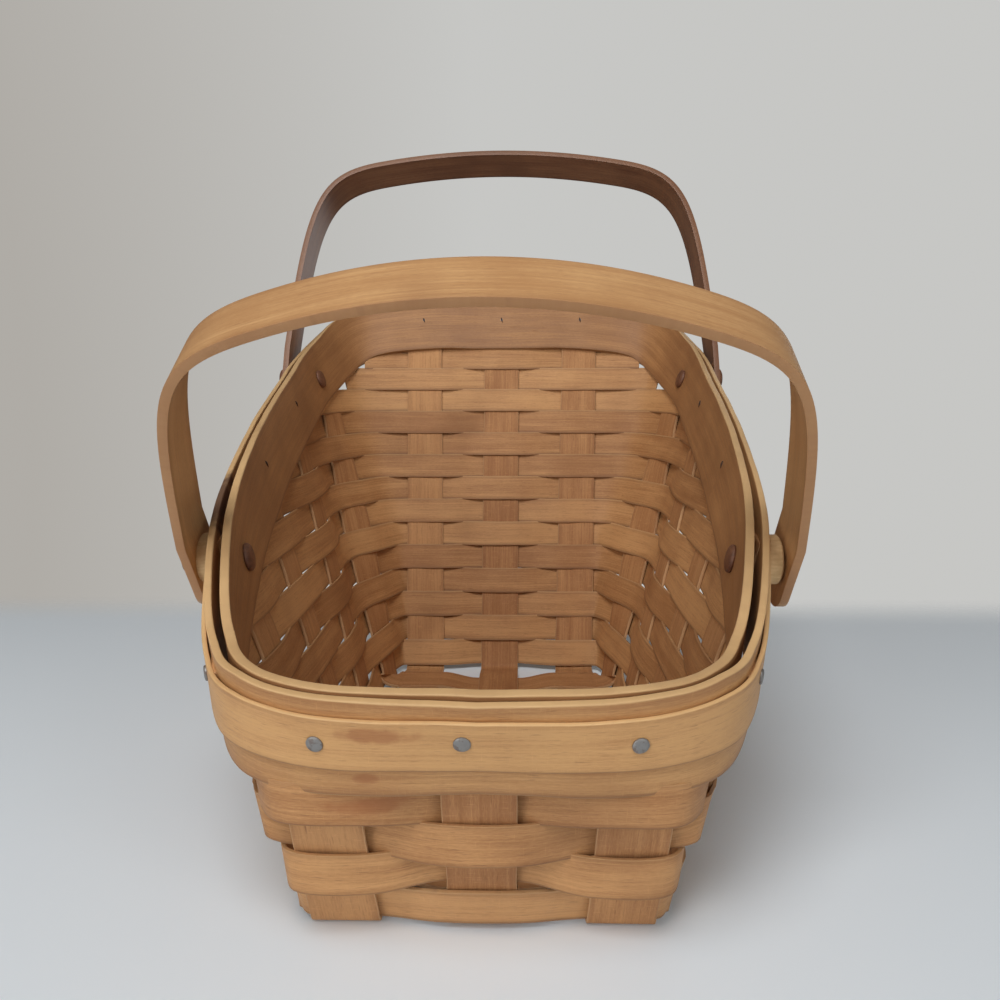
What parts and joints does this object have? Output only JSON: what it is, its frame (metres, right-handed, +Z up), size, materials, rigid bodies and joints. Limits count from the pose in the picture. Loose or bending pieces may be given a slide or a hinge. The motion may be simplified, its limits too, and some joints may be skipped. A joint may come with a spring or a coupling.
{
  "type": "sleigh basket",
  "caption": "Woven wooden splint basket with flared walls, a low front, a tall back, a layered nailed rim and a pair of bentwood swing handles.",
  "frame": {"origin": "on the floor under the middle of the base, on the underside of the middle cross splint", "axes": "+Z up, +Y from the low front towards the tall back, +X to the right seen from the front"},
  "size_m": [0.3052, 0.431, 0.3627],
  "materials": {
    "splint_wood": "oiled, a little fuzzy across the grain",
    "weaver_wood": "satin oiled",
    "rim_wood": "satin oiled",
    "handle_wood": "satin varnish",
    "peg_wood": "satin",
    "spacer_wood": "bare",
    "nail_steel": "dull"
  },
  "bodies": {
    "basket": {"long_splint_1": "splint_wood", "long_splint_2": "splint_wood", "long_splint_3": "splint_wood", "cross_splint_1": "splint_wood", "cross_splint_2": "splint_wood", "cross_splint_3": "splint_wood", "cross_splint_4": "splint_wood", "cross_splint_5": "splint_wood", "weaver_01": "weaver_wood", "weaver_02": "weaver_wood", "weaver_03": "weaver_wood", "weaver_04": "weaver_wood", "weaver_05": "weaver_wood", "weaver_06": "weaver_wood", "weaver_07": "weaver_wood", "weaver_08": "weaver_wood", "weaver_09": "weaver_wood", "weaver_10": "weaver_wood", "weaver_11": "weaver_wood", "weaver_12": "weaver_wood", "weaver_13": "weaver_wood", "weaver_14": "weaver_wood", "inner_rim_hoop": "rim_wood", "outer_rim_hoop": "rim_wood", "rim_trim": "rim_wood", "nail_front_1": "nail_steel", "nail_front_2": "nail_steel", "nail_front_3": "nail_steel", "nail_back_1": "nail_steel", "nail_back_2": "nail_steel", "nail_back_3": "nail_steel", "nail_right_1": "nail_steel", "nail_right_3": "nail_steel", "nail_right_4": "nail_steel", "nail_left_1": "nail_steel", "nail_left_3": "nail_steel", "nail_left_4": "nail_steel", "front_peg_right": "peg_wood", "front_peg_left": "peg_wood", "rear_peg_right": "peg_wood", "rear_peg_left": "peg_wood", "front_spacer_right": "spacer_wood", "front_spacer_left": "spacer_wood", "rear_spacer_right": "spacer_wood", "rear_spacer_left": "spacer_wood", "front_cap_right": "peg_wood", "front_cap_left": "peg_wood", "rear_cap_right": "peg_wood", "rear_cap_left": "peg_wood"},
    "front_handle": {"front_handle": "handle_wood"},
    "rear_handle": {"rear_handle": "handle_wood"}
  },
  "joints": [
    {"name": "front_handle_swing", "type": "hinge", "parent": "basket", "child": "front_handle", "pos_m": [0, -0.07196, 0.12473], "axis": [1, 0, 0], "range_deg": [-40, 90]},
    {"name": "rear_handle_swing", "type": "hinge", "parent": "basket", "child": "rear_handle", "pos_m": [0, 0.16104, 0.19796], "axis": [1, 0, 0], "range_deg": [-148, 110]}
  ]
}
